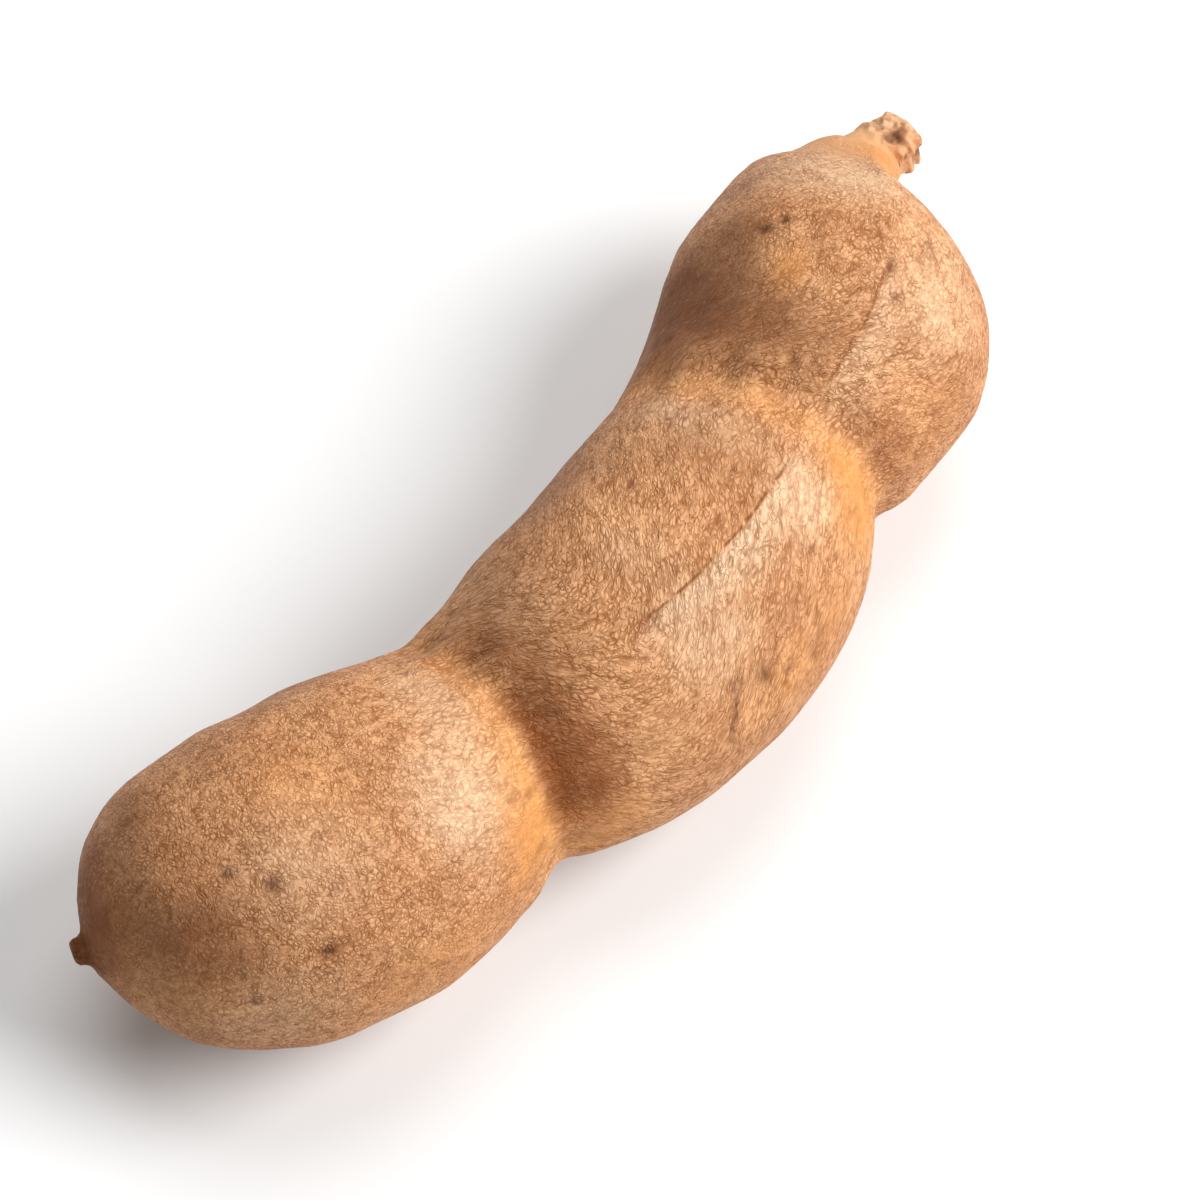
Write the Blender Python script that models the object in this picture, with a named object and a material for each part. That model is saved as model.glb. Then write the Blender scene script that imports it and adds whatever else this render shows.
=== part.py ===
"""A tamarind pod as picked: a three-seeded pod with the stub of its stalk, lying on its side.

The pod is a swept body. Its sections are half ellipses set square to an axis that curves in the
horizontal plane, and they swell over each seed and narrow between the seeds. The stalk stub
carries on along the same axis. Tables are in millimetres, the scene is in metres, +Z is up, +X
runs from the beak to the stalk, and the origin is under the middle of the whole object.
"""

import math

import bmesh
import bpy
from mathutils import Vector, noise

MM = 0.001

# The axis, seen from above, from the tip of the beak to the broken end of the stalk.
AXIS_POINTS = [
    (-44.4, 1.3),
    (-34.7, -4.0),
    (-24.0, -7.9),
    (-12.8, -10.5),
    (-1.0, -11.7),
    (11.0, -11.1),
    (22.0, -8.0),
    (33.0, -3.7),
    (41.0, 0.6),
    (45.0, 2.2),
    (49.8, 1.3),
]

# The pod lies this far into its own roundness, so each of its three lobes has a small flat to rest on.
AXIS_HEIGHT = 11.3

# Each row is a place on the axis and the section there: its reach to the outside of the curve,
# to the inside of the curve, and up and down.
POD_SECTIONS = [
    (0.0, 0.0, 0.0, 0.0),
    (0.1, 1.2, 0.5, 0.8),
    (1.0, 1.8, 0.9, 1.2),
    (1.7, 2.9, 4.0, 2.9),
    (3.4, 5.5, 7.5, 5.7),
    (7.2, 9.4, 10.3, 9.2),
    (13.5, 12.5, 11.9, 11.3),
    (18.5, 13.0, 12.1, 11.6),
    (24.0, 12.6, 12.0, 11.2),
    (29.8, 10.9, 10.8, 9.4),
    (33.2, 9.2, 10.3, 8.0),
    (37.2, 10.8, 10.8, 9.4),
    (44.0, 12.4, 11.9, 11.3),
    (54.0, 12.5, 12.3, 11.5),
    (61.5, 10.9, 12.1, 9.9),
    (65.7, 9.2, 11.9, 8.2),
    (69.2, 10.8, 11.7, 9.5),
    (76.0, 12.9, 12.2, 11.4),
    (82.0, 11.8, 12.0, 11.2),
    (87.2, 7.8, 10.5, 8.7),
    (90.6, 3.6, 8.6, 5.6),
    (92.6, 2.5, 6.1, 3.6),
    (94.0, 2.3, 4.0, 2.6),
    (94.2, 1.2, 2.0, 1.3),
    (94.2, 0.0, 0.0, 0.0),
]

# The stub has a ragged break, dished where the pith has gone.
STALK_SECTIONS = [
    (94.5, 0.0, 0.0, 0.0),
    (94.5, 1.2, 1.6, 1.3),
    (94.7, 2.3, 2.8, 2.5),
    (95.7, 2.2, 2.6, 2.4),
    (96.8, 2.1, 2.3, 2.2),
    (97.8, 2.0, 1.9, 2.0),
    (98.2, 1.2, 1.1, 1.2),
    (97.6, 0.5, 0.5, 0.5),
    (97.5, 0.0, 0.0, 0.0),
]

# How many faces go round each body and along it.
POD_MESH = (56, 78)
STALK_MESH = (28, 22)

# The shell's unevenness: shallow dents, waists that bow towards the stalk on top, the puckers that
# cross them, and the two seams.
DENT_DEPTH = 0.35
DENT_SPACING = 9.0
WAISTS = (33.2, 65.7)
WAIST_REACH = 5.0
WAIST_BOW = 1.3
WAIST_BOW_REACH = 9.0
PUCKER_DEPTH = 0.18
PUCKER_COUNT = 13
SEAM_ANGLES = (math.radians(69.5), math.radians(249.5))
SEAM_HEIGHT = 0.35
SEAM_HALF_WIDTH = 2.4
SHELL_FADE = 8.0

# The stub's break: lumps of torn wood that grow towards the end.
LUMP_DEPTH = 0.55
LUMP_SPACING = 1.5
STALK_START = 94.5
STALK_LENGTH = 3.6

SHELL_COLOUR = (0.50, 0.27, 0.12, 1.0)
STALK_COLOUR = (0.26, 0.12, 0.05, 1.0)


def spline(points, steps):
    """Points on one smooth curve through the given ones, which may have any number of coordinates."""
    ends = [2 * points[0] - points[1], *points, 2 * points[-1] - points[-2]]
    curve = []
    for before, start, stop, after in zip(ends, ends[1:], ends[2:], ends[3:]):
        for step in range(steps):
            t = step / steps
            bend = 2 * before - 5 * start + 4 * stop - after
            twist = 3 * start - before - 3 * stop + after
            curve.append(start + (t * (stop - before) + t * t * bend + t * t * t * twist) / 2)
    return [*curve, points[-1]]


def lengths_along(points):
    """How far each point is along the line through them."""
    lengths = [0.0]
    for first, second in zip(points, points[1:]):
        lengths.append(lengths[-1] + (second - first).length)
    return lengths


def point_at(points, lengths, length):
    """The point that far along the line, and the direction of the line there."""
    index = 1
    while index < len(points) - 1 and lengths[index] < length:
        index += 1
    start, stop = points[index - 1], points[index]
    share = (length - lengths[index - 1]) / max(lengths[index] - lengths[index - 1], 1e-9)
    return start.lerp(stop, share), (stop - start).normalized()


AXIS = spline([Vector((x, y, AXIS_HEIGHT)) for x, y in AXIS_POINTS], 24)
AXIS_LENGTHS = lengths_along(AXIS)


def rings_through(sections, count):
    """Sections at even steps along the body's side, from one end of the axis to the other."""
    rows = spline([Vector(row) for row in sections], 24)
    side = [Vector((row[0], (row[1] + row[2]) / 2)) for row in rows]
    lengths = lengths_along(side)
    return [point_at(rows, lengths, lengths[-1] * n / count)[0] for n in range(count + 1)]


def smooth_bump(distance, reach):
    """1 at no distance, falling smoothly to 0 at reach."""
    share = min(abs(distance) / reach, 1.0)
    return (1.0 - share * share) ** 2


def waist_bow(place, angle):
    """How far along the axis a point of a waist is moved. Only the upper side is moved."""
    near = sum(smooth_bump(place - waist, WAIST_BOW_REACH) for waist in WAISTS)
    return WAIST_BOW * near * max(math.sin(angle), 0.0) ** 2


def shell_relief(place, angle, radius, point):
    """How far the shell stands out at an angle round the axis, 0 being the outside of the curve."""
    fade = 1.0 - smooth_bump(place, SHELL_FADE)
    dents = DENT_DEPTH * noise.noise(point / DENT_SPACING)
    pinch = max(smooth_bump(place - waist, WAIST_REACH) for waist in WAISTS)
    puckers = -PUCKER_DEPTH * pinch * math.cos(PUCKER_COUNT * angle)
    seams = 0.0
    for seam in SEAM_ANGLES:
        across = radius * math.remainder(angle - seam, math.tau)
        seams += SEAM_HEIGHT * (1.0 - pinch) * smooth_bump(across, SEAM_HALF_WIDTH)
    return fade * (dents + puckers + seams)


def stalk_relief(place, angle, radius, point):
    """How far the torn wood stands out. The foot, which meets the pod, stays smooth."""
    share = (place - STALK_START) / STALK_LENGTH
    lumps = noise.noise(point / LUMP_SPACING)
    return LUMP_DEPTH * share * lumps * min(radius, 1.0)


def swept_body(name, sections, mesh_size, relief, material):
    """A closed body on the axis. It starts as a ball, whose rings are moved to the sections."""
    segments, ring_count = mesh_size
    rings = rings_through(sections, ring_count)
    body = bmesh.new()
    bmesh.ops.create_uvsphere(body, u_segments=segments, v_segments=ring_count, radius=1.0)
    for vertex in body.verts:
        ball = vertex.co.copy()
        ring = round(math.acos(max(-1.0, min(1.0, ball.z))) / math.pi * ring_count)
        angle = math.atan2(ball.y, ball.x)
        place, outside, inside, height = rings[ring]
        centre, along = point_at(AXIS, AXIS_LENGTHS, place + waist_bow(place, angle))
        outward = Vector((along.y, -along.x, 0.0))
        reach = outside if math.cos(angle) > 0 else inside
        spoke = outward * reach * math.cos(angle) + Vector((0, 0, height * math.sin(angle)))
        point = centre + spoke
        if spoke.length > 0:
            point += spoke.normalized() * relief(place, angle, spoke.length, point)
        point.z = max(point.z, 0.0)
        vertex.co = point * MM
    mesh = bpy.data.meshes.new(name)
    body.to_mesh(mesh)
    body.free()
    mesh.shade_smooth()
    mesh.materials.append(material)
    made = bpy.data.objects.new(name, mesh)
    return made


def make_material(name, colour, roughness):
    """A plain dielectric finish."""
    material = bpy.data.materials.new(name)
    material.use_nodes = True
    shader = material.node_tree.nodes["Principled BSDF"]
    shader.inputs["Base Color"].default_value = colour
    shader.inputs["Roughness"].default_value = roughness
    shader.inputs["Metallic"].default_value = 0.0
    return material


def clear_scene():
    for old in list(bpy.data.objects):
        bpy.data.objects.remove(old, do_unlink=True)


def put_origin_below(bodies):
    """Moves the bodies so that the middle of their common box is over the origin."""
    corners = [vertex.co for body in bodies for vertex in body.data.vertices]
    for side in (0, 1):
        values = [corner[side] for corner in corners]
        middle = (min(values) + max(values)) / 2
        for corner in corners:
            corner[side] -= middle


clear_scene()
collection = bpy.data.collections.new("tamarind_pod")
bpy.context.scene.collection.children.link(collection)

shell = make_material("dry_shell", SHELL_COLOUR, 0.7)
wood = make_material("dry_stalk", STALK_COLOUR, 0.85)

pod = swept_body("pod", POD_SECTIONS, POD_MESH, shell_relief, shell)
stalk = swept_body("stalk", STALK_SECTIONS, STALK_MESH, stalk_relief, wood)
put_origin_below([pod, stalk])
for part in (pod, stalk):
    collection.objects.link(part)
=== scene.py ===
"""The looks of a tamarind pod as picked: a dry, scurfy shell over three lobes, with its beak at one
end and the torn stub of its stalk at the other, lying on its side on a pale floor.

Sizes are in millimetres and angles in degrees, where nothing else is said. A place is a distance
along the pod's axis from the tip of its beak. An angle is a turn round that axis: 0 is the outside
of the pod's curve, and 90 is its top.
"""

import math
import random

import bmesh
import bpy
import numpy as np
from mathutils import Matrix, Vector, noise


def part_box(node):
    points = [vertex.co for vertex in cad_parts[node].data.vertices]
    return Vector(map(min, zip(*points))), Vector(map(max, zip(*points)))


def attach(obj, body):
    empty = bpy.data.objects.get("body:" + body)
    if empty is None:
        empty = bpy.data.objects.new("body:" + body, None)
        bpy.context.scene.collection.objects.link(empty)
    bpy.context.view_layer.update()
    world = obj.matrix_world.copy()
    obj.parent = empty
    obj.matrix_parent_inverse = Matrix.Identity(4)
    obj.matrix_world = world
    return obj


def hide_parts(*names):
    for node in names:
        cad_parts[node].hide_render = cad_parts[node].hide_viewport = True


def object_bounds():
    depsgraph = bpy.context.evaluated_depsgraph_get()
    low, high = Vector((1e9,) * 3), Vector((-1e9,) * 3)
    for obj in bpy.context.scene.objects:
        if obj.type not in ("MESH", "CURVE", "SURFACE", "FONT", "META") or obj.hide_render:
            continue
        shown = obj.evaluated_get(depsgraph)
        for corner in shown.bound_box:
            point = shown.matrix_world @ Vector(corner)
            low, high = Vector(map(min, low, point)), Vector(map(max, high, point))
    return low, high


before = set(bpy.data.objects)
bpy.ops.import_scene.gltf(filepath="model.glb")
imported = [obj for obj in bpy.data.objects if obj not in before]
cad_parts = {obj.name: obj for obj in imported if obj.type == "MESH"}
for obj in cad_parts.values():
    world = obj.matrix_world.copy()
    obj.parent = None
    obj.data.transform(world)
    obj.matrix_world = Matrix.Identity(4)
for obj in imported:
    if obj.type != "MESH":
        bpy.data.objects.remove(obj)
cad_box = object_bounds()


# ---- The shell ----
# One brittle, dry shell over three seeds, which grew round a curved axis. It narrows to a waist
# between the seeds, ends in a hard little beak, and is covered with tan scurf that has dried into a
# felt of tiny flakes. It is made as a ball, whose rings are moved onto sections along the axis.

MM = 0.001

# The axis, seen from above, from the tip of the beak to the broken end of the stalk.
AXIS_POINTS = [
    (-44.4, 1.3),
    (-34.7, -4.0),
    (-24.0, -7.9),
    (-12.8, -10.5),
    (-1.0, -11.7),
    (11.0, -11.1),
    (22.0, -8.0),
    (33.0, -3.7),
    (41.0, 0.6),
    (45.0, 2.2),
    (49.8, 1.3),
]
AXIS_HEIGHT = 11.3

# Each row is a place and the section there: its reach to the outside of the curve, to the inside,
# and up and down.
POD_SECTIONS = [
    (0.0, 0.0, 0.0, 0.0),
    (0.1, 1.2, 0.5, 0.8),
    (1.0, 1.8, 0.9, 1.2),
    (1.7, 2.9, 4.0, 2.9),
    (3.4, 5.5, 7.5, 5.7),
    (7.2, 9.4, 10.3, 9.2),
    (13.5, 12.5, 11.9, 11.3),
    (18.5, 13.0, 12.1, 11.6),
    (24.0, 12.6, 12.0, 11.2),
    (29.8, 10.9, 10.8, 9.4),
    (33.2, 9.2, 10.3, 8.0),
    (37.2, 10.8, 10.8, 9.4),
    (44.0, 12.4, 11.9, 11.3),
    (54.0, 12.5, 12.3, 11.5),
    (61.5, 10.9, 12.1, 9.9),
    (65.7, 9.2, 11.9, 8.2),
    (69.2, 10.8, 11.7, 9.5),
    (76.0, 12.9, 12.2, 11.4),
    (82.0, 11.8, 12.0, 11.2),
    (87.2, 7.8, 10.5, 8.7),
    (90.6, 3.6, 8.6, 5.6),
    (92.6, 2.5, 6.1, 3.6),
    (94.0, 2.3, 4.0, 2.6),
    (94.2, 1.2, 2.0, 1.3),
    (94.2, 0.0, 0.0, 0.0),
]
POD_END = 94.2

# How many faces go round the body and along it, and how many steps each span of a curve takes.
POD_MESH = (324, 296)
CURVE_STEPS = 24

# The broad form that the solid has too: dents, waists that bow towards the stalk on top, the puckers
# that cross them, and the two raised seams. It fades out at the beak.
DENT_DEPTH = 0.35
DENT_SPACING = 9.0
WAISTS = (33.2, 65.7)
WAIST_REACH = 5.0
WAIST_BOW = 1.3
WAIST_BOW_REACH = 9.0
PUCKER_DEPTH = 0.18
PUCKER_COUNT = 13
SEAM_ANGLES = (69.5, 249.5)
SEAM_HEIGHT = 0.35
SEAM_HALF_WIDTH = 2.4
BEAK_FADE = 8.0

# The line in each waist where one lobe ends and the next swells up, and the fine wrinkles just past it.
CREASE_WOBBLE = 0.20
CREASE_WOBBLE_SPACING = 6.0
CREASE_DEPTH = 0.03
CREASE_HALF_WIDTH = 0.6
SHOULDER_HEIGHT = 0.15
SHOULDER_RISE = 2.6
SHOULDER_REACH = 8.0
WRINKLE_DEPTH = 0.035
WRINKLE_SPACING = 0.7
WRINKLE_LENGTH = 6.0
WRINKLES_PAST_CREASE = 0.8

# The suture: a fine fold along the lobes, with a low lip on its outer side. From its middle it drifts
# round the pod by so many degrees a millimetre, and it wanders by a few degrees, as (swing, spacing).
SUTURE_MIDDLE = 55.0
SUTURE_ANGLE = 70.8
SUTURE_DRIFT = -0.06
SUTURE_WANDER = [(1.2, 4.0), (0.4, 1.1)]
FOLD_HALF_WIDTH = 0.35
FOLD_TO_LIP = 0.4
LIP_PLACE = 1.1
LIP_HALF_WIDTH = 0.9

# The stretches where it shows, as (from, to, height of the lip), and the height that shows in full.
SUTURE_STRETCHES = [(43.0, 63.5, 0.12), (66.0, 80.5, 0.06)]
SUTURE_FULL_HEIGHT = 0.13

# Pits and nicks in the shell: place, angle, half length along and across, and depth.
MARKS = [
    (10.8, 73.0, 0.50, 0.50, 0.16),
    (13.2, 64.0, 0.50, 0.50, 0.26),
    (15.0, 36.0, 0.60, 0.50, 0.30),
    (17.0, 56.0, 0.40, 0.40, 0.10),
    (10.1, 21.0, 0.40, 0.35, 0.15),
    (79.1, 114.0, 0.45, 0.80, 0.24),
    (80.2, 108.0, 0.45, 0.40, 0.28),
    (78.7, 68.0, 0.80, 0.28, 0.26),
    (76.6, 63.0, 0.30, 0.60, 0.12),
    (45.4, 16.0, 0.25, 0.50, 0.16),
    (45.9, 19.5, 0.25, 0.50, 0.20),
    (46.4, 23.0, 0.25, 0.50, 0.20),
    (46.9, 26.5, 0.25, 0.50, 0.16),
    (47.4, 30.0, 0.25, 0.50, 0.12),
    (49.8, 26.0, 0.25, 0.80, 0.18),
    (48.6, 19.0, 0.30, 0.40, 0.12),
    (51.5, 20.0, 0.55, 0.30, 0.14),
    (53.8, 14.0, 0.35, 0.50, 0.12),
    (58.5, 85.0, 0.60, 0.25, 0.10),
    (53.2, 112.0, 0.30, 0.30, 0.14),
]
SCAR_FULL_DEPTH = 0.2

# Many smaller ones are scattered over the shell, each drawn from these ranges.
SMALL_MARKS = 130
SMALL_MARK_SEED = 12
SMALL_MARK_HALF_WIDTHS = (0.22, 0.45)
SMALL_MARK_PLACES = (4, 90)
SMALL_MARK_STRETCHES = (0.8, 1.8)
SMALL_MARK_DEPTHS = (0.04, 0.10)

# Shallow hollows as wide as a fingertip, where the shell has sunk between the seed and the rim:
# place, angle, reach and depth.
HOLLOWS = [
    (8.5, 48.0, 4.5, 0.22),
    (74.0, 136.0, 6.5, 0.75),
    (50.8, 36.0, 5.5, 0.40),
    (48.5, 20.0, 3.0, 0.20),
    (20.5, 95.0, 6.5, 0.25),
    (55.0, 100.0, 6.0, 0.20),
    (20.0, 150.0, 6.0, 0.25),
    (25.0, -40.0, 5.0, 0.30),
    (52.0, 200.0, 6.0, 0.30),
    (76.0, -30.0, 5.0, 0.30),
]

# Fine unevenness, which calms down at the beak and at the neck: height, spacing, and how much it is
# squeezed along the pod before it is sampled, so that less than 1 draws it out.
UNEVENNESS = [(0.09, 3.2, 1.0), (0.045, 1.15, 0.6)]
BEAK_CALM = 5.0
NECK_CALM = 6.0

# The beak is a hard, wrinkled nub.
BEAK_REACH = 3.5
BEAK_WRINKLE_HEIGHT = 0.26
BEAK_WRINKLE_SPACING = 0.7
BEAK_WRINKLE_SQUEEZE = 0.4


def spline(points):
    """Points on one smooth curve through the given ones, which may have any number of coordinates."""
    points = np.array(points)
    ends = [2 * points[0] - points[1], *points, 2 * points[-1] - points[-2]]
    curve = []
    for before, start, stop, after in zip(ends, ends[1:], ends[2:], ends[3:]):
        for step in range(CURVE_STEPS):
            t = step / CURVE_STEPS
            bend = 2 * before - 5 * start + 4 * stop - after
            twist = 3 * start - before - 3 * stop + after
            curve.append(start + (t * (stop - before) + t * t * bend + t * t * t * twist) / 2)
    return np.array([*curve, points[-1]])


def lengths_along(points):
    """How far each point is along the line through them."""
    steps = np.linalg.norm(np.diff(points, axis=0), axis=1)
    return np.concatenate([[0.0], np.cumsum(steps)])


AXIS = spline(AXIS_POINTS)
AXIS_LENGTHS = lengths_along(AXIS)


def axis_at(place):
    """The axis's points at those places, and the directions to the outside of its curve there."""
    index = np.clip(np.searchsorted(AXIS_LENGTHS, place), 1, len(AXIS) - 1)
    start, along = AXIS[index - 1], AXIS[index] - AXIS[index - 1]
    step = AXIS_LENGTHS[index] - AXIS_LENGTHS[index - 1]
    spot = start + along * ((place - AXIS_LENGTHS[index - 1]) / step)[:, None]
    level = np.full(len(place), AXIS_HEIGHT)
    outward = np.stack([along[:, 1], -along[:, 0], 0 * step], axis=1) / step[:, None]
    return np.column_stack([spot, level]), outward


def rings_through(sections, count):
    """Sections at even steps along the body's side, from one end of the axis to the other."""
    rows = spline(sections)
    lengths = lengths_along(np.column_stack([rows[:, 0], (rows[:, 1] + rows[:, 2]) / 2]))
    steps = np.linspace(0.0, lengths[-1], count + 1)
    return np.column_stack([np.interp(steps, lengths, column) for column in rows.T])


def smooth_bump(distance, reach):
    """1 at no distance, falling smoothly to 0 at reach."""
    share = np.minimum(np.abs(distance) / reach, 1.0)
    return (1.0 - share * share) ** 2


def smooth_step(value, low, high):
    """0 up to the low value and 1 from the high one, with a smooth change between them."""
    share = np.clip((value - low) / (high - low), 0.0, 1.0)
    return share * share * (3 - 2 * share)


def waist_bow(place, angle):
    """How far along the axis a point of a waist is moved. Only the upper side is moved."""
    near = sum(smooth_bump(place - waist, WAIST_BOW_REACH) for waist in WAISTS)
    return WAIST_BOW * near * np.maximum(np.sin(angle), 0.0) ** 2


def swept_ball(sections, mesh_size):
    """A ball and where its vertices go so that its rings lie on the sections: the place, the angle in
    radians, the distance and the direction from the axis, and the point.
    """
    segments, ring_count = mesh_size
    ball = bmesh.new()
    bmesh.ops.create_uvsphere(ball, u_segments=segments, v_segments=ring_count, radius=1.0)
    unit = np.array([vertex.co for vertex in ball.verts])
    ring = np.rint(np.arccos(np.clip(unit[:, 2], -1.0, 1.0)) / math.pi * ring_count).astype(int)
    angle = np.arctan2(unit[:, 1], unit[:, 0])
    place, outside, inside, height = rings_through(sections, ring_count)[ring].T
    centre, outward = axis_at(place + waist_bow(place, angle))
    spoke = outward * (np.where(np.cos(angle) > 0, outside, inside) * np.cos(angle))[:, None]
    spoke[:, 2] = height * np.sin(angle)
    radius = np.linalg.norm(spoke, axis=1)
    return ball, place, angle, radius, spoke / np.maximum(radius, 1e-6)[:, None], centre + spoke


def straightened(along, angle, radius):
    """Points on a straightened pod, whose patterns follow the shell: along the axis, and out from it."""
    return np.column_stack([along, radius * np.cos(angle), radius * np.sin(angle)])


def noise_at(points, spacing):
    """Smooth noise from -1 to 1 at each point, with lumps about that far apart."""
    return np.array([noise.noise(Vector(point)) for point in points / spacing])


def turn_between(angle, degrees):
    """The shortest turn, in radians, from an angle in degrees to the given ones."""
    return np.remainder(angle - np.radians(degrees) + math.pi, 2 * math.pi) - math.pi


ball, place, angle, radius, outwards, point = swept_ball(POD_SECTIONS, POD_MESH)

# The broad form, as on the solid.
pinch = np.maximum(*(smooth_bump(place - waist, WAIST_REACH) for waist in WAISTS))
form = DENT_DEPTH * noise_at(point, DENT_SPACING) - PUCKER_DEPTH * pinch * np.cos(PUCKER_COUNT * angle)
for seam in SEAM_ANGLES:
    across = radius * turn_between(angle, seam)
    form += SEAM_HEIGHT * (1.0 - pinch) * smooth_bump(across, SEAM_HALF_WIDTH)
form *= 1.0 - smooth_bump(place, BEAK_FADE)
point = point + outwards * form[:, None]

# The frame has the pod a little to one side of this, so the shell moves there, and the stub after it.
low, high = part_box("pod")
shift = np.array((low + high) / 2) / MM - (point.min(0) + point.max(0)) / 2
shift[2] = 0.0

straight = straightened(place, angle, radius)
relief = np.zeros(len(place))

# The creases of the waists, with each vertex's signed distance past the nearest one.
wobble = CREASE_WOBBLE * noise_at(straight, CREASE_WOBBLE_SPACING)
wrinkles = noise_at(straight / (WRINKLE_LENGTH, WRINKLE_SPACING, WRINKLE_SPACING), 1.0)
past = np.full(len(place), np.inf)
for waist in WAISTS:
    beyond = place - waist - wobble
    relief += SHOULDER_HEIGHT * smooth_step(beyond, 0.0, SHOULDER_RISE) * smooth_bump(beyond, SHOULDER_REACH)
    relief -= CREASE_DEPTH * np.exp(-((beyond / CREASE_HALF_WIDTH) ** 2))
    relief += WRINKLE_DEPTH * smooth_bump(beyond - WRINKLES_PAST_CREASE, WAIST_REACH) * wrinkles
    past = np.where(np.abs(beyond) < np.abs(past), beyond, past)

# The suture, with each vertex's signed distance across from it.
line = SUTURE_ANGLE + SUTURE_DRIFT * (place - SUTURE_MIDDLE)
for swing, spacing in SUTURE_WANDER:
    line += swing * noise_at(place[:, None] * (1.0, 0.0, 0.0), spacing)
suture = radius * turn_between(angle, line)
fold = np.exp(-((suture / FOLD_HALF_WIDTH) ** 2))
lip = np.exp(-(((suture + LIP_PLACE) / LIP_HALF_WIDTH) ** 2))
suture_height = np.zeros(len(place))

# Each stretch has its full height in its middle part and fades out just past its ends.
for start, stop, height in SUTURE_STRETCHES:
    fading = smooth_bump(place - (start + stop) / 2, (stop - start) / 1.8)
    suture_height += height * np.minimum(2.0 * fading, 1.0)
relief += suture_height * (lip - FOLD_TO_LIP * fold)
suture_shown = np.clip(suture_height / SUTURE_FULL_HEIGHT, 0.0, 1.0)

# Pits, nicks and hollows.
scar = np.zeros(len(place))
marks = list(MARKS)
draw = random.Random(SMALL_MARK_SEED)
for _ in range(SMALL_MARKS):
    half_across = draw.uniform(*SMALL_MARK_HALF_WIDTHS)
    spot = draw.uniform(*SMALL_MARK_PLACES)
    degrees = draw.uniform(0, 360)
    half_along = half_across * draw.uniform(*SMALL_MARK_STRETCHES)
    marks.append((spot, degrees, half_along, half_across, draw.uniform(*SMALL_MARK_DEPTHS)))
for spot, degrees, half_along, half_across, depth in marks:
    across = radius * turn_between(angle, degrees)
    pit = np.exp(-(((place - spot) / half_along) ** 2) - (across / half_across) ** 2)
    relief -= depth * pit
    scar += min(depth / SCAR_FULL_DEPTH, 1.0) * pit
for spot, degrees, reach, depth in HOLLOWS:
    across = radius * turn_between(angle, degrees)
    relief -= depth * smooth_bump(np.hypot(place - spot, across), reach)

# The fine unevenness, and the wrinkles of the beak.
for height, spacing, squeeze in UNEVENNESS:
    relief += height * noise_at(straight * (squeeze, 1.0, 1.0), spacing)
relief *= 1.0 - np.minimum(smooth_bump(place, BEAK_CALM) + smooth_bump(place - POD_END, NECK_CALM), 1.0)
wrinkles = noise_at(straight * (BEAK_WRINKLE_SQUEEZE, 1.0, 1.0), BEAK_WRINKLE_SPACING)
relief += BEAK_WRINKLE_HEIGHT * smooth_bump(place, BEAK_REACH) * wrinkles

point = point + outwards * relief[:, None] + shift
point[:, 2] = np.maximum(point[:, 2], 0.0)


def piece_from(name, ball, points):
    """The object made of a ball whose vertices are moved to those points."""
    for vertex, spot in zip(ball.verts, points * MM):
        vertex.co = spot
    mesh = bpy.data.meshes.new(name)
    ball.to_mesh(mesh)
    ball.free()
    mesh.shade_smooth()
    made = bpy.data.objects.new(name, mesh)
    bpy.context.scene.collection.objects.link(made)
    return made


shell = piece_from("pod_shell", ball, point)

# Where the shell is more golden than elsewhere; where it is duller, and where painted shade darkens the side
# away from the light and the slopes just past the creases; where it is rust brown, and where painted shade
# darkens the creases; and where pale scurf has stayed on, and where painted highlights lie on the lobes that
# face the light: place, angle, reach along and across, and amount.
GOLD_PATCHES = [
    (30.3, 32.0, 4.0, 8.0, 1.00),
    (31.5, 85.0, 3.0, 8.0, 0.25),
    (63.0, 32.0, 4.5, 6.0, 1.00),
    (64.0, 85.0, 3.0, 9.0, 0.15),
    (54.0, 18.0, 8.0, 4.5, 0.45),
    (36.0, 5.0, 5.0, 6.0, 0.60),
    (72.0, 20.0, 6.0, 6.0, 0.25),
    (92.5, 62.0, 4.0, 3.5, 1.00),
    (90.0, -60.0, 6.0, 14.0, 0.60),
    (2.0, 60.0, 3.5, 9.0, 0.60),
    (7.0, 24.0, 5.5, 5.5, 0.45),
    (42.0, 30.0, 4.0, 5.0, 0.35),
    (88.5, 95.0, 4.0, 6.0, 0.30),
    (76.0, 99.0, 3.2, 2.0, 0.90),
    (18.0, 85.0, 6.0, 7.0, 0.35),
    (22.0, 5.0, 9.0, 6.0, 0.40),
]
# Dull patches, with painted shade on the side away from the light, on the rims and just past the creases.
DULL_AND_SHADE_PATCHES = [
    (7.8, 50.0, 5.5, 6.5, 0.62),
    (3.5, 118.0, 6.0, 8.0, 0.36),
    (36.2, 42.0, 3.6, 7.5, 0.35),
    (36.6, 100.0, 2.8, 9.0, 0.30),
    (72.7, 147.0, 9.2, 10.5, 1.15),
    (79.5, 122.0, 4.0, 4.0, 0.60),
    (71.5, 98.0, 5.5, 6.0, 0.55),
    (60.0, 99.0, 5.0, 5.5, 0.45),
    (52.0, 158.0, 15.0, 7.0, 0.55),
    (22.0, 165.0, 12.0, 6.0, 0.40),
    (53.5, 32.0, 4.0, 4.0, 0.15),
    (49.5, 28.0, 3.0, 1.8, 0.50),
    (54.5, 19.0, 2.0, 1.5, 0.50),
]
# Rust brown at the beak and the neck, and painted shade in the creases of the waists.
RUST_AND_CREASE_SHADE_PATCHES = [
    (36.2, 38.0, 3.8, 9.0, 0.80),
    (33.7, 50.0, 1.7, 8.5, 1.00),
    (36.0, 95.0, 2.5, 8.0, 0.30),
    (68.6, 28.0, 3.2, 7.0, 0.60),
    (1.6, 90.0, 3.8, 14.0, 0.90),
    (93.4, 52.0, 1.8, 3.0, 0.40),
]
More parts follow.
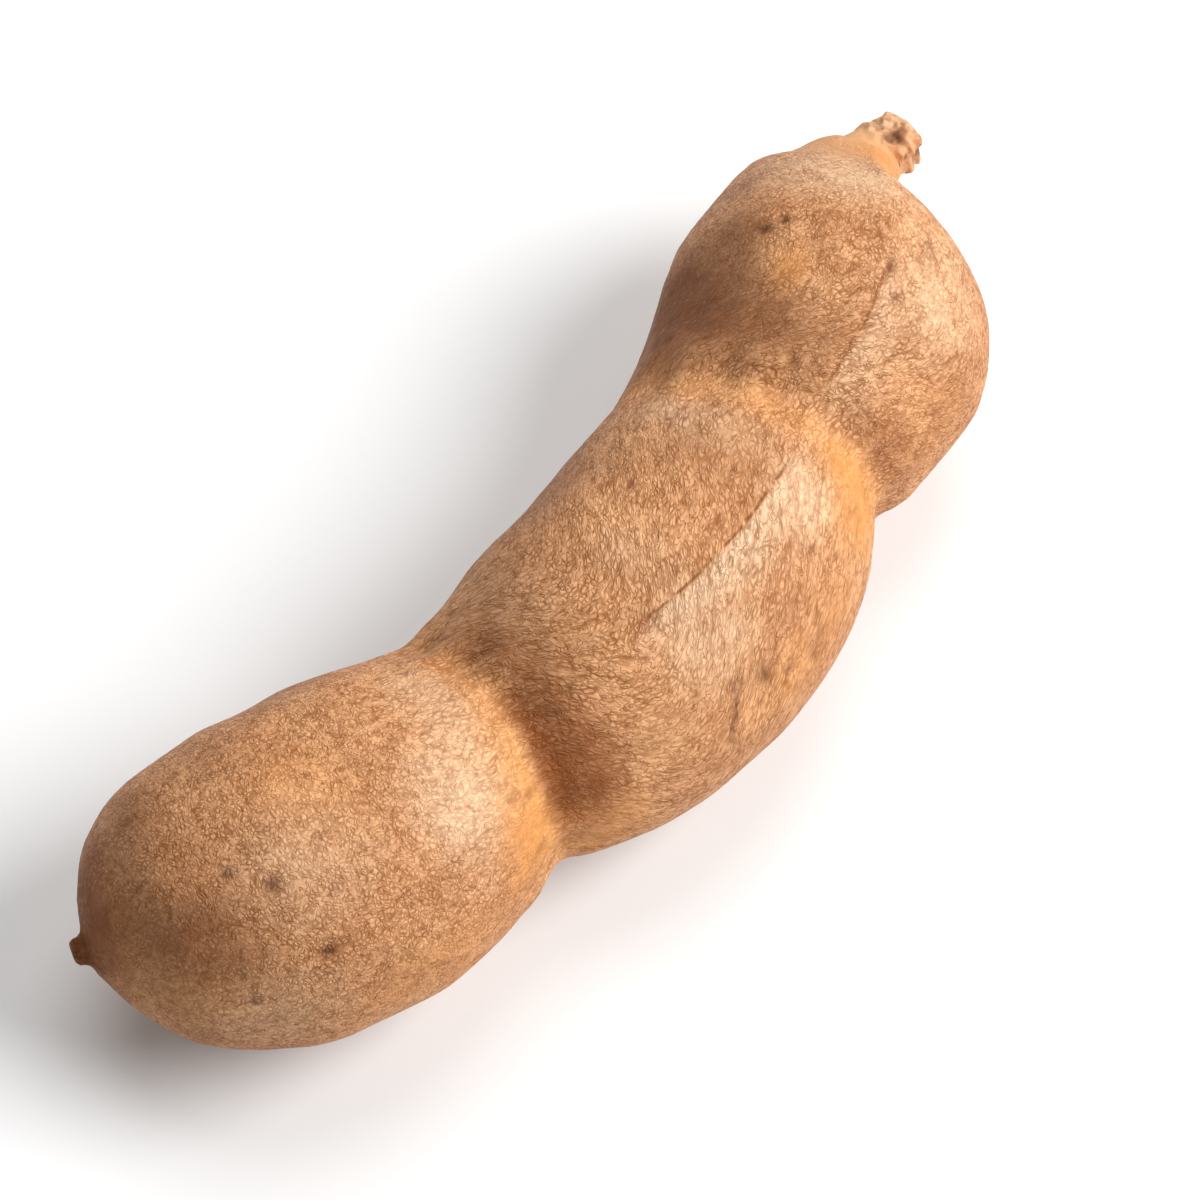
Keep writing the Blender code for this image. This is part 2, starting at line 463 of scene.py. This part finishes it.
# Pale scurf, with painted highlights where the lobes face the light.
PALE_SCURF_AND_HIGHLIGHT_PATCHES = [
    (27.0, 62.0, 5.0, 6.0, 0.75),
    (29.5, 100.0, 3.5, 6.0, 0.55),
    (48.0, 52.0, 5.5, 6.0, 0.65),
    (59.5, 58.0, 4.2, 4.2, 0.85),
    (48.5, 90.0, 3.5, 5.0, 0.30),
    (61.5, 110.0, 3.0, 9.0, 0.40),
    (79.0, 46.0, 7.0, 7.0, 0.55),
    (87.0, 95.0, 5.5, 9.0, 0.75),
    (16.0, 66.0, 7.0, 7.0, 0.40),
    (11.0, 14.0, 7.0, 6.0, 0.36),
    (40.0, 116.0, 6.0, 6.0, 0.20),
    (42.0, 30.0, 3.8, 5.0, 0.22),
    (27.0, 38.0, 3.5, 5.0, 0.25),
]

# The patches' edges are ragged, with larger and smaller bites, as (depth, spacing).
PATCH_BITES = [(0.4, 2.5), (0.2, 1.0)]

# How far the tip of the beak is dark, and how far down from its rim the neck is smooth and pale.
BEAK_DARK_REACH = 2.4
NECK_RIM = 94.5
NECK_SMOOTH_REACH = 8.0
NECK_PALE_REACH = 3.2

# How much of the grain goes where the shell is golden, where it is dull and has painted shade, where it is
# pale and has painted highlights, and at the neck.
GOLD_SMOOTHS = 0.60
DULL_AND_SHADE_SMOOTHS = 0.48
PALE_AND_HIGHLIGHT_SMOOTHS = 0.42
NECK_SMOOTHS = 0.60

# A painted glow of light lies on the rim of a lobe before its crease, between these distances past it, and
# most where it is golden. Beside the suture lies a strip of pale scurf and painted highlight, which grows
# from the first of its distances to the next.
PAINTED_GLOW_RISE = (-3.2, -0.6)
PAINTED_GLOW_FALL = (-0.4, 1.6)
PAINTED_GLOW_LEAST = 0.3
PALE_AND_LIT_STRIP_RISE = (-5.0, -0.4)
PALE_AND_LIT_STRIP_FALL = (-0.4, 0.0)

# The grain is drawn out along the pod where its steps are short, as (place, step), and it slants one
# way and then the other on the middle lobe, as (place, reach, slant in radians). The steps are summed
# up over short strides.
GRAIN_STEPS = [
    (0, 1.05),
    (25, 1.05),
    (31, 0.5),
    (37, 0.4),
    (44, 0.65),
    (62, 0.5),
    (69, 0.55),
    (78, 0.8),
    (94, 0.9),
]
GRAIN_SLANTS = [(43.0, 10.0, 0.45), (64.0, 13.0, -0.45)]
GRAIN_STRIDE = 0.5

ragged = 1.0 + sum(depth * noise_at(straight, spacing) for depth, spacing in PATCH_BITES)


def patches(listed):
    """The sum of the patches at each vertex, with ragged edges."""
    total = np.zeros(len(place))
    for spot, degrees, reach_along, reach_across, amount in listed:
        across = radius * turn_between(angle, degrees)
        total += amount * smooth_bump(np.hypot((place - spot) / reach_along, across / reach_across), 1.0)
    return np.clip(total * ragged, 0.0, 1.0)


gold, dull_and_shade, pale_and_highlight = patches(GOLD_PATCHES), patches(DULL_AND_SHADE_PATCHES), patches(PALE_SCURF_AND_HIGHLIGHT_PATCHES)
neck_smooth = smooth_bump(place - NECK_RIM, NECK_SMOOTH_REACH)
smoothed = [GOLD_SMOOTHS * gold, DULL_AND_SHADE_SMOOTHS * dull_and_shade, PALE_AND_HIGHLIGHT_SMOOTHS * pale_and_highlight, NECK_SMOOTHS * neck_smooth]
# A painted glow of light before each crease.
painted_glow = smooth_step(past, *PAINTED_GLOW_RISE) * (1.0 - smooth_step(past, *PAINTED_GLOW_FALL))

evenly = np.arange(0.0, POD_END + GRAIN_STRIDE, GRAIN_STRIDE)
drawn = GRAIN_STRIDE * np.cumsum(np.interp(evenly, *zip(*GRAIN_STEPS)))
slanted = angle + sum(slant * smooth_bump(place - spot, reach) for spot, reach, slant in GRAIN_SLANTS)


def keep_on_mesh(mesh, kept):
    """Keeps named numbers or vectors on the mesh, one for each vertex, for its material to read."""
    for name, values in kept.items():
        vector = values.ndim == 2
        made = mesh.attributes.new(name, "FLOAT_VECTOR" if vector else "FLOAT", "POINT")
        made.data.foreach_set("vector" if vector else "value", values.astype(np.float32).ravel())


SHELL_VALUES = {
    "straight": straight,
    "flow": straightened(np.interp(place, evenly, drawn), slanted, radius),
    "suture": suture,
    "suture_shown": suture_shown,
    "pale_and_lit_strip": smooth_step(suture, *PALE_AND_LIT_STRIP_RISE) * suture_shown,
    "painted_glow": painted_glow * (PAINTED_GLOW_LEAST + (1.0 - PAINTED_GLOW_LEAST) * gold),
    "smooth": np.max(smoothed, axis=0),
    "gold": gold,
    "dull_and_shade": dull_and_shade,
    "pale_and_highlight": pale_and_highlight,
    "rust_and_crease_shade": patches(RUST_AND_CREASE_SHADE_PATCHES),
    "scar": np.clip(scar, 0.0, 1.0),
    "beak": smooth_bump(place, BEAK_DARK_REACH),
    "neck": smooth_bump(place - NECK_RIM, NECK_PALE_REACH),
}
keep_on_mesh(shell.data, SHELL_VALUES)


def linear(code):
    """An opaque colour written as an sRGB hex code, turned linear."""
    values = [int(code[n : n + 2], 16) / 255 for n in (0, 2, 4)]
    return (*[v / 12.92 if v <= 0.04045 else ((v + 0.055) / 1.055) ** 2.4 for v in values], 1.0)


def fill(node, inputs):
    """Gives each of these inputs of a node its value or its link."""
    for name, value in inputs.items():
        if isinstance(value, bpy.types.NodeSocket):
            node.id_data.links.new(value, node.inputs[name])
        else:
            node.inputs[name].default_value = value


def add(material, kind, inputs, output=0, **settings):
    """Adds a node with its settings, values and links, and gives back one of its outputs."""
    made = material.node_tree.nodes.new(kind)
    for name, value in settings.items():
        setattr(made, name, value)
    fill(made, inputs)
    return made.outputs[output]


def blotches(material, vector, spacing, low, high, least=0.0):
    """Soft-edged blotches about that far apart: 1 on a blotch, and the least amount between them."""
    field = {"Vector": vector, "Scale": 1 / spacing, "Detail": 1.0, "Roughness": 0.6}
    field = add(material, "ShaderNodeTexNoise", field, "Fac")
    ends = {0: field, 1: low, 2: high, 3: least, 4: 1.0}
    return add(material, "ShaderNodeMapRange", ends, interpolation_type="SMOOTHSTEP")


def winding_lines(material, vector, spacing, close=0.05):
    """Wiggly lines about that far apart: 1 on a line, 0 between lines. A line lies where smooth noise
    is that close to its middle.
    """
    field = {"Vector": vector, "Scale": 1 / spacing, "Detail": 1.0, "Roughness": 0.6}
    field = add(material, "ShaderNodeTexNoise", field, "Fac")
    off = add(material, "ShaderNodeMath", {0: field, 1: 0.5}, operation="SUBTRACT")
    off = add(material, "ShaderNodeMath", {0: off}, operation="ABSOLUTE")
    ends = {0: off, 1: 0.0, 2: close, 3: 1.0, 4: 0.0}
    return add(material, "ShaderNodeMapRange", ends, interpolation_type="SMOOTHSTEP")


def lay_colours(material, under, layers):
    """Lays colours over one another. Each covers by its amount times its strength, and the amount is
    a socket or the name of a number kept on the mesh.
    """
    for amount, code, strength in layers:
        if isinstance(amount, str):
            amount = add(material, "ShaderNodeAttribute", {}, "Fac", attribute_name=amount)
        share = add(material, "ShaderNodeMath", {0: amount, 1: strength}, operation="MULTIPLY")
        under = add(material, "ShaderNodeMix", {0: share, 6: under, 7: linear(code)}, 2, data_type="RGBA")
    return under


# Dry tamarind shell: matt and a little felted, because light scurf lies in flakes on brown bark. The
# flakes are about a third of a millimetre wide, with dark lines between them, and show at that size.
# The gap at a flake's edge is a share of its width.
FLAKE_WIDTH = 0.36
FLAKE_GAP = 0.30
EDGE_BREAK_SPACING = 1.0
CRACK_SPACING = 0.43
FOLD_SPACING = 1.9
MOTTLE_SPACING = 0.40
LIGHT_FLAKE_SPACING = 0.34
TONE_SPACING = 6.0
BEAK_BLOTCH_SPACING = 0.5
BENDS_PER_MM = 0.7
BEND_REACH = (0.7, 0.7, 0.7)
BUMP_HEIGHT = 0.16

# The grain is a height from about 0, in the deepest lines, to about 1, on the flakes. Each pattern
# lowers it by so much from its highest, and where it is smoothed away it is even. From the dark
# height to the light one it turns from the brown of the lines to the tan of the flakes.
GRAIN_HIGHEST = 1.22
LINE_DEPTH = 0.42
FOLD_DEPTH = 0.12
MOTTLE_DEPTH = 0.90
GRAIN_EVEN = 0.62
GRAIN_DARK = 0.22
GRAIN_LIGHT = 0.78

# The suture's own line is full to the first of these distances from its middle and gone at the second.
SUTURE_LINE_EDGE = (0.03, 0.15)
SUTURE_BREAK_SPACING = 1.4
SUTURE_CUT = 0.3

scurf = bpy.data.materials.new("dry_tamarind_shell")
scurf.use_nodes = True

# The grain's own coordinates, bent a little so that its lines wind.
where = add(scurf, "ShaderNodeAttribute", {}, "Vector", attribute_name="straight")
flow = add(scurf, "ShaderNodeAttribute", {}, "Vector", attribute_name="flow")
bend = add(scurf, "ShaderNodeTexNoise", {"Vector": flow, "Scale": BENDS_PER_MM, "Detail": 1.5}, "Color")
bend = add(scurf, "ShaderNodeVectorMath", {0: bend, 1: (0.5, 0.5, 0.5)}, operation="SUBTRACT")
flow = add(scurf, "ShaderNodeVectorMath", {0: bend, 1: BEND_REACH, 2: flow}, operation="MULTIPLY_ADD")

# Dark lines run between the flakes, fainter here and there, and cracks wind across them. Wider
# apart wind shallow folds, and a mottle as fine as the flakes lies over all.
edges = {"Vector": flow, "Scale": 1 / FLAKE_WIDTH}
edges = add(scurf, "ShaderNodeTexVoronoi", edges, "Distance", feature="DISTANCE_TO_EDGE")
edges = {0: edges, 1: 0.0, 2: FLAKE_GAP, 3: 1.0, 4: 0.0}
edges = add(scurf, "ShaderNodeMapRange", edges, interpolation_type="SMOOTHSTEP")
broken = blotches(scurf, flow, EDGE_BREAK_SPACING, 0.34, 0.58, 0.35)
edges = add(scurf, "ShaderNodeMath", {0: edges, 1: broken}, operation="MULTIPLY")
cracks = winding_lines(scurf, flow, CRACK_SPACING)
lines = add(scurf, "ShaderNodeMath", {0: edges, 1: cracks}, operation="MAXIMUM")
folds = winding_lines(scurf, flow, FOLD_SPACING)
mottle = {"Vector": flow, "Scale": 1 / MOTTLE_SPACING, "Detail": 2.0, "Roughness": 0.6}
mottle = add(scurf, "ShaderNodeTexNoise", mottle, "Fac")
grain = GRAIN_HIGHEST
for pattern, depth in [(lines, LINE_DEPTH), (folds, FOLD_DEPTH), (mottle, MOTTLE_DEPTH)]:
    grain = add(scurf, "ShaderNodeMath", {0: pattern, 1: -depth, 2: grain}, operation="MULTIPLY_ADD")
evened = add(scurf, "ShaderNodeAttribute", {}, "Fac", attribute_name="smooth")
grain = add(scurf, "ShaderNodeMix", {0: evened, 2: grain, 3: GRAIN_EVEN})

# The suture is a thin broken line, cut a little into the grain.
beside = add(scurf, "ShaderNodeAttribute", {}, "Fac", attribute_name="suture")
off = add(scurf, "ShaderNodeMath", {0: beside}, operation="ABSOLUTE")
thin = {0: off, 1: SUTURE_LINE_EDGE[0], 2: SUTURE_LINE_EDGE[1], 3: 1.0, 4: 0.0}
suture_line = add(scurf, "ShaderNodeMapRange", thin, interpolation_type="SMOOTHSTEP")
seen = add(scurf, "ShaderNodeAttribute", {}, "Fac", attribute_name="suture_shown")
for share in (blotches(scurf, where, SUTURE_BREAK_SPACING, 0.36, 0.50), seen):
    suture_line = add(scurf, "ShaderNodeMath", {0: suture_line, 1: share}, operation="MULTIPLY")
grain = add(scurf, "ShaderNodeMath", {0: suture_line, 1: -SUTURE_CUT, 2: grain}, operation="MULTIPLY_ADD")

# The strip of pale scurf and painted highlight ends sharply at the suture, and joins the pale patches and
# their painted highlights.
pale_and_lit_strip = add(scurf, "ShaderNodeAttribute", {}, "Fac", attribute_name="pale_and_lit_strip")
pale_and_lit_strip_end = {0: beside, 1: PALE_AND_LIT_STRIP_FALL[0], 2: PALE_AND_LIT_STRIP_FALL[1], 3: 1.0, 4: 0.0}
pale_and_lit_strip_end = add(scurf, "ShaderNodeMapRange", pale_and_lit_strip_end, interpolation_type="SMOOTHSTEP")
pale_and_lit_strip = add(scurf, "ShaderNodeMath", {0: pale_and_lit_strip_end, 1: pale_and_lit_strip}, operation="MULTIPLY")
pale_scurf_and_highlights = add(scurf, "ShaderNodeAttribute", {}, "Fac", attribute_name="pale_and_highlight")
pale_scurf_and_highlights = add(scurf, "ShaderNodeMath", {0: pale_and_lit_strip, 1: pale_scurf_and_highlights}, operation="MAXIMUM")

# The bark's tan drifts from place to place. Over it lie the patches, with their painted shade and painted
# highlights, the dark between the flakes and the lighter tan of some of them, and then the painted glow
# before the creases, the painted shade in them, and what stains the flakes too.
tone = {"Vector": where, "Scale": 1 / TONE_SPACING, "Detail": 2.0, "Roughness": 0.6}
tone = add(scurf, "ShaderNodeTexNoise", tone, "Fac")
tone = add(scurf, "ShaderNodeMapRange", {0: tone, 1: 0.34, 2: 0.66})
sunk = add(scurf, "ShaderNodeMapRange", {0: grain, 1: GRAIN_DARK, 2: GRAIN_LIGHT, 3: 1.0, 4: 0.0})
raised = add(scurf, "ShaderNodeMapRange", {0: grain, 1: GRAIN_DARK, 2: GRAIN_LIGHT})
light_flakes = blotches(scurf, flow, LIGHT_FLAKE_SPACING, 0.56, 0.70)
light_flakes = add(scurf, "ShaderNodeMath", {0: light_flakes, 1: raised}, operation="MULTIPLY")
beak = add(scurf, "ShaderNodeAttribute", {}, "Fac", attribute_name="beak")
blotched = blotches(scurf, where, BEAK_BLOTCH_SPACING, 0.35, 0.60, 0.55)
beak = add(scurf, "ShaderNodeMath", {0: blotched, 1: beak}, operation="MULTIPLY")
SHELL_COLOURS = [
    (tone, "DDA475", 1.00),
    ("gold", "E29748", 0.62),
    # Dull patches and painted shade.
    ("dull_and_shade", "72442E", 0.87),
    # Pale scurf and painted highlights.
    (pale_scurf_and_highlights, "EBCEAC", 0.66),
    (sunk, "7A3F00", 0.76),
    (light_flakes, "F4CDA6", 0.15),
    # A painted glow of light before each crease.
    ("painted_glow", "E0A055", 0.28),
    # Rust brown, and painted shade in the creases.
    ("rust_and_crease_shade", "783A0C", 0.74),
    (suture_line, "6A3A1A", 0.48),
    ("scar", "4E240A", 0.82),
    (beak, "643418", 0.85),
    ("neck", "D8A270", 0.50),
]
SHELL_FINISH = {
    "Base Color": lay_colours(scurf, linear("C48D63"), SHELL_COLOURS),
    "Roughness": add(scurf, "ShaderNodeMapRange", {0: grain, 3: 0.70, 4: 0.48}),
    "Normal": add(scurf, "ShaderNodeBump", {"Strength": 0.8, "Distance": BUMP_HEIGHT * MM, "Height": grain}),
    "Specular IOR Level": 0.15,
}
fill(scurf.node_tree.nodes["Principled BSDF"], SHELL_FINISH)
shell.data.materials.append(scurf)

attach(shell, "root")
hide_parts("pod")


# ---- The stub of the stalk ----
# The pod hung from a woody stalk that was torn off. What is left is a short, rough stub, with lumps of torn
# wood and hollows where the pith was, darkened with painted shade. Its foot stands in the neck of the shell.

STALK_SECTIONS = [
    (93.2, 0.0, 0.0, 0.0),
    (93.2, 1.2, 2.0, 1.3),
    (93.5, 2.2, 3.6, 2.4),
    (94.7, 2.3, 3.0, 2.4),
    (95.7, 2.2, 2.6, 2.4),
    (96.8, 2.1, 2.3, 2.2),
    (97.8, 2.0, 1.9, 2.0),
    (98.2, 1.2, 1.1, 1.2),
    (97.6, 0.5, 0.5, 0.5),
    (97.5, 0.0, 0.0, 0.0),
]
STALK_MESH = (120, 110)

# Large lumps grow up from the foot, and the small ones of torn wood start at a ragged edge. Lumps are
# (height, spacing).
LUMPS_START = 94.2
LUMPS_RISE = 2.0
LARGE_LUMPS = (0.50, 1.35)
TORN_START = 94.7
TORN_RISE = 0.9
TORN_EDGE = (0.5, 1.2)
TORN_LUMPS = [(0.34, 0.85), (0.17, 0.42)]

# Hollows in the torn wood: place, angle, reach and depth. They spread past their painted shade, and both
# have uneven outlines.
STALK_HOLLOWS = [
    (96.0, 80.0, 1.00, 0.55),
    (97.8, 8.0, 1.10, 0.50),
    (95.8, 30.0, 0.55, 0.30),
    (96.2, 215.0, 0.90, 0.50),
    (97.2, 300.0, 0.80, 0.50),
]
HOLLOW_SPREAD = 1.3
HOLLOW_PAINTED_SHADE = 0.8
HOLLOW_UNEVEN = (0.6, 0.7)

# Torn wood that lies lower than this is darkened with painted shade, and one side of the stub is more
# orange. The reach of the orange is in radians.
LOW_WOOD = 0.15
LOW_WOOD_PAINTED_SHADE = 1.5
ORANGE_ANGLE = 35.0
ORANGE_REACH = 1.5

ball, place, angle, radius, outwards, point = swept_ball(STALK_SECTIONS, STALK_MESH)
straight = straightened(place, angle, radius)

depth, spacing = TORN_EDGE
torn = np.clip((place - TORN_START) / TORN_RISE + depth * noise_at(straight, spacing), 0.0, 1.0)
height, spacing = LARGE_LUMPS
grown = np.clip((place - LUMPS_START) / LUMPS_RISE, 0.0, 1.0) * np.minimum(radius, 1.0)
relief = height * grown * noise_at(point, spacing)
relief += torn * sum(height * noise_at(point, spacing) for height, spacing in TORN_LUMPS)

depth, spacing = HOLLOW_UNEVEN
uneven = 1.0 + depth * noise_at(straight, spacing)
hollow_shade = np.zeros(len(place))
for spot, degrees, reach, depth in STALK_HOLLOWS:
    away = np.hypot(place - spot, radius * turn_between(angle, degrees)) * uneven
    relief -= depth * smooth_bump(away, reach * HOLLOW_SPREAD)
    hollow_shade += HOLLOW_PAINTED_SHADE * smooth_bump(away, reach)
# Low torn wood is darkened with painted shade too.
hollow_shade += LOW_WOOD_PAINTED_SHADE * torn * np.clip(-relief - LOW_WOOD, 0.0, 1.0)

stub = piece_from("stalk_stub", ball, point + outwards * relief[:, None] + shift)
STUB_VALUES = {
    "straight": straight,
    "foot": 1.0 - torn,
    "orange": smooth_bump(turn_between(angle, ORANGE_ANGLE), ORANGE_REACH),
    "hollow_shade": np.clip(hollow_shade, 0.0, 1.0),
}
keep_on_mesh(stub.data, STUB_VALUES)

# Torn, weathered wood: rough, tan-pink where it is raised, darkened with painted shade in the hollows, and
# orange on one side. Its fibres lie about half a millimetre apart.
FIBRE_SPACING = 0.45
FIBRE_HEIGHT = 0.1

wood = bpy.data.materials.new("torn_stalk_wood")
wood.use_nodes = True
where = add(wood, "ShaderNodeAttribute", {}, "Vector", attribute_name="straight")
fibre = {"Vector": where, "Scale": 1 / FIBRE_SPACING, "Detail": 3.0, "Roughness": 0.6}
fibre = add(wood, "ShaderNodeTexNoise", fibre, "Fac")
raised = add(wood, "ShaderNodeMapRange", {0: fibre, 1: 0.35, 2: 0.65})
WOOD_COLOURS = [
    (raised, "DDB28C", 1.00),
    ("foot", "D8A270", 0.80),
    ("orange", "B87038", 0.38),
    # Painted shade in the hollows and the low torn wood.
    ("hollow_shade", "5E361C", 0.74),
]
WOOD_FINISH = {
    "Base Color": lay_colours(wood, linear("AE7E5A"), WOOD_COLOURS),
    "Roughness": 0.8,
    "Normal": add(wood, "ShaderNodeBump", {"Strength": 0.7, "Distance": FIBRE_HEIGHT * MM, "Height": fibre}),
    "Specular IOR Level": 0.3,
}
fill(wood.node_tree.nodes["Principled BSDF"], WOOD_FINISH)
stub.data.materials.append(wood)

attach(stub, "root")
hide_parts("stalk")


# ---- The floor, the light and the camera ----
# A pale, matt studio floor, a large soft light on the right and a weaker one above and behind, and an
# even white surround. Sizes here are in metres, and powers in watts.

FLOOR_HALF_SIZE = 2.0
CAMERA_AZIMUTH = math.radians(-48.3)
CAMERA_ELEVATION = math.radians(60.0)
CAMERA_DISTANCE = 0.5
FRAME_WIDTH = 0.088
SENSOR_WIDTH_MM = 36.0
SURROUND_STRENGTH = 0.165

# Matt paper. Its faint glow stands for the light that a whole white studio throws on it.
PAPER_FINISH = {
    "Base Color": linear("E6E6E6"),
    "Roughness": 0.9,
    "Specular IOR Level": 0.2,
    "Emission Color": linear("FFFFFF"),
    "Emission Strength": 0.07,
}
paper = bpy.data.materials.new("pale_floor_paper")
paper.use_nodes = True
fill(paper.node_tree.nodes["Principled BSDF"], PAPER_FINISH)
plane = bmesh.new()
bmesh.ops.create_grid(plane, x_segments=8, y_segments=8, size=FLOOR_HALF_SIZE)
mesh = bpy.data.meshes.new("floor")
plane.to_mesh(mesh)
plane.free()
mesh.materials.append(paper)
floor = bpy.data.objects.new("floor", mesh)
bpy.context.scene.collection.objects.link(floor)

low, high = cad_box
centre = (low + high) / 2
back = Vector(
    (
        math.sin(CAMERA_AZIMUTH) * math.cos(CAMERA_ELEVATION),
        -math.cos(CAMERA_AZIMUTH) * math.cos(CAMERA_ELEVATION),
        math.sin(CAMERA_ELEVATION),
    )
)
right = Vector((math.cos(CAMERA_AZIMUTH), math.sin(CAMERA_AZIMUTH), 0.0))
up = back.cross(right)
lens = bpy.data.cameras.new("camera")
lens.sensor_width = SENSOR_WIDTH_MM
lens.lens = lens.sensor_width * CAMERA_DISTANCE / FRAME_WIDTH
camera = bpy.data.objects.new("camera", lens)
camera.location = centre + back * CAMERA_DISTANCE
camera.rotation_euler = (-back).to_track_quat("-Z", "Y").to_euler()
bpy.context.scene.collection.objects.link(camera)
bpy.context.scene.camera = camera

# Each light: its direction from the pod, its distance, its size and its power.
LIGHTS = {
    "key": (right * 0.78 + up * 0.28 + back * 0.56, 1.0, 0.79, 14.7),
    "overhead": (up * 0.88 + back * 0.47, 0.9, 0.80, 5.1),
}
for name, (direction, distance, size, power) in LIGHTS.items():
    area = bpy.data.lights.new(name, "AREA")
    area.shape = "DISK"
    area.size = size
    area.energy = power
    lamp = bpy.data.objects.new(name, area)
    lamp.location = centre + direction.normalized() * distance
    lamp.rotation_euler = (-direction).to_track_quat("-Z", "Y").to_euler()
    bpy.context.scene.collection.objects.link(lamp)

world = bpy.data.worlds.new("surround")
world.use_nodes = True
fill(world.node_tree.nodes["Background"], {"Color": linear("FFFFFF"), "Strength": SURROUND_STRENGTH})
bpy.context.scene.world = world
bpy.context.scene.view_settings.view_transform = "Standard"
